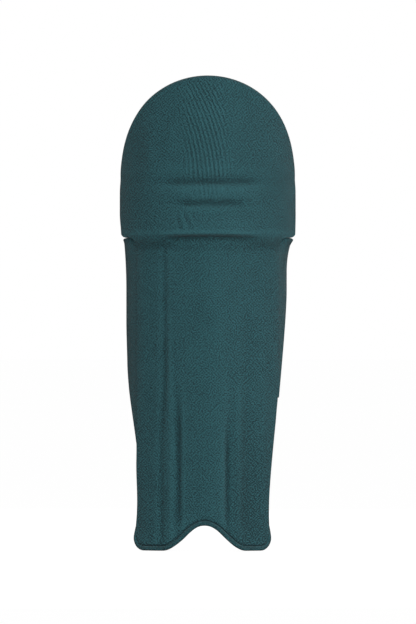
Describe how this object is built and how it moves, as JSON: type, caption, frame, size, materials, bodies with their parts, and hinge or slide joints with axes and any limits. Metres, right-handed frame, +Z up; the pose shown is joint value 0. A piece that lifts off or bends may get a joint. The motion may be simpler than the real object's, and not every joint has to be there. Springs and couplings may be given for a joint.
{
  "type": "cricket leg pad",
  "caption": "Adult batting pad with a hinged three-part knee, folding wings and strap fastenings, in a fitted stretch-knit cover.",
  "frame": {"origin": "under the middle of the pad, at the height of the two lobes of its foot", "axes": "+Z up the shin, -Y the way the shin faces, +X to the right for someone looking at its front"},
  "size_m": [0.252, 0.1696, 0.68],
  "materials": {
    "cover": "matte knit",
    "facing": "smooth synthetic leather",
    "foam": "matte closed-cell foam",
    "cane": "satin cane",
    "board": "matte",
    "lining": "brushed mesh",
    "binding": "satin",
    "webbing": "woven",
    "hook": "hook tape",
    "ring": "gloss"
  },
  "bodies": {
    "shin": {"cover_shin": "cover", "hem_cord": "cover", "shin_facing": "facing", "shin_rib_1": "foam", "shin_rib_2": "foam", "shin_rib_3": "foam", "shin_rib_4": "foam", "shin_rib_5": "foam", "shin_rib_6": "foam", "shin_rib_7": "foam", "shin_cane_1": "cane", "shin_cane_2": "cane", "shin_cane_3": "cane", "shin_cane_4": "cane", "shin_cane_5": "cane", "shin_cane_6": "cane", "shin_cane_7": "cane", "shin_side_foam_left": "foam", "shin_side_foam_right": "foam", "shin_board": "board", "shin_lining": "lining", "shin_bolster_left": "lining", "shin_bolster_right": "lining", "instep_welt": "binding", "ankle_strap_patch": "binding", "ankle_ring_keeper": "webbing"},
    "knee_lower": {"cover_knee_lower": "cover", "knee_roll_lower": "foam", "knee_cane_lower": "cane", "knee_lining_lower": "lining", "knee_pad_lower": "lining"},
    "knee_upper": {"cover_knee_upper": "cover", "knee_roll_upper": "foam", "knee_cane_upper": "cane", "knee_lining_upper": "lining", "knee_pad_upper": "lining"},
    "top_hat": {"cover_top_hat": "cover", "top_hat_foam": "foam", "top_hat_board": "board", "top_hat_lining": "lining"},
    "left_wing": {"cover_wing_left": "cover", "wing_foam_left": "foam", "wing_lining_left": "lining", "knee_strap_patch": "binding", "calf_strap_patch": "binding"},
    "right_wing": {"cover_wing_right": "cover", "wing_foam_right": "foam", "wing_lining_right": "lining", "knee_ring_keeper": "webbing", "calf_ring_keeper": "webbing"},
    "knee_strap": {"knee_strap": "webbing"},
    "knee_tail": {"knee_strap_tail": "hook"},
    "knee_ring": {"knee_ring": "ring"},
    "calf_strap": {"calf_strap": "webbing"},
    "calf_tail": {"calf_strap_tail": "hook"},
    "calf_ring": {"calf_ring": "ring"},
    "ankle_strap": {"ankle_strap": "webbing"},
    "ankle_tail": {"ankle_strap_tail": "hook"},
    "ankle_ring": {"ankle_ring": "ring"}
  },
  "joints": [
    {"name": "knee_flex", "type": "hinge", "parent": "shin", "child": "knee_lower", "pos_m": [0, -0.03, 0.453], "axis": [-1, 0, 0], "range_deg": [-3, 8]},
    {"name": "knee_flex_middle", "type": "hinge", "parent": "knee_lower", "child": "knee_upper", "pos_m": [0, -0.03, 0.498], "axis": [-1, 0, 0], "range_deg": [-3, 8]},
    {"name": "knee_flex_upper", "type": "hinge", "parent": "knee_upper", "child": "top_hat", "pos_m": [0, -0.03, 0.53], "axis": [-1, 0, 0], "range_deg": [-3, 8]},
    {"name": "left_wing_fold", "type": "hinge", "parent": "shin", "child": "left_wing", "pos_m": [-0.10076, -0.01955, 0.29], "axis": [0, 0, 1], "range_deg": [-4, 25]},
    {"name": "right_wing_fold", "type": "hinge", "parent": "shin", "child": "right_wing", "pos_m": [0.10076, -0.01955, 0.32], "axis": [0, 0, -1], "range_deg": [-4, 25]},
    {"name": "knee_strap_swing", "type": "hinge", "parent": "left_wing", "child": "knee_strap", "pos_m": [-0.08755, 0.05426, 0.412], "axis": [0, 0, 1], "range_deg": [0, 80]},
    {"name": "knee_tail_fold", "type": "hinge", "parent": "knee_strap", "child": "knee_tail", "pos_m": [0.01438, 0.085, 0.412], "axis": [0, 0, 1], "range_deg": [0, 165]},
    {"name": "calf_strap_swing", "type": "hinge", "parent": "left_wing", "child": "calf_strap", "pos_m": [-0.08755, 0.05426, 0.322], "axis": [0, 0, 1], "range_deg": [0, 80]},
    {"name": "calf_tail_fold", "type": "hinge", "parent": "calf_strap", "child": "calf_tail", "pos_m": [0.01438, 0.085, 0.322], "axis": [0, 0, 1], "range_deg": [0, 165]},
    {"name": "ankle_strap_swing", "type": "hinge", "parent": "shin", "child": "ankle_strap", "pos_m": [-0.07789, 0.00657, 0.066], "axis": [0, 0, 1], "range_deg": [0, 80]},
    {"name": "ankle_tail_fold", "type": "hinge", "parent": "ankle_strap", "child": "ankle_tail", "pos_m": [0.02342, 0.05657, 0.066], "axis": [0, 0, 1], "range_deg": [0, 165]},
    {"name": "knee_ring_pivot", "type": "hinge", "parent": "right_wing", "child": "knee_ring", "pos_m": [0.08848, 0.05348, 0.412], "axis": [0, 0, 1], "range_deg": [-50, 50]},
    {"name": "calf_ring_pivot", "type": "hinge", "parent": "right_wing", "child": "calf_ring", "pos_m": [0.09145, 0.02987, 0.322], "axis": [0, 0, 1], "range_deg": [-50, 50]},
    {"name": "ankle_ring_pivot", "type": "hinge", "parent": "shin", "child": "ankle_ring", "pos_m": [0.06807, -0.00755, 0.066], "axis": [0, 0, 1], "range_deg": [-50, 50]}
  ],
  "couplings": [
    {"joint": "knee_flex_middle", "follows": "knee_flex", "ratio": 1},
    {"joint": "knee_flex_upper", "follows": "knee_flex", "ratio": 1}
  ]
}
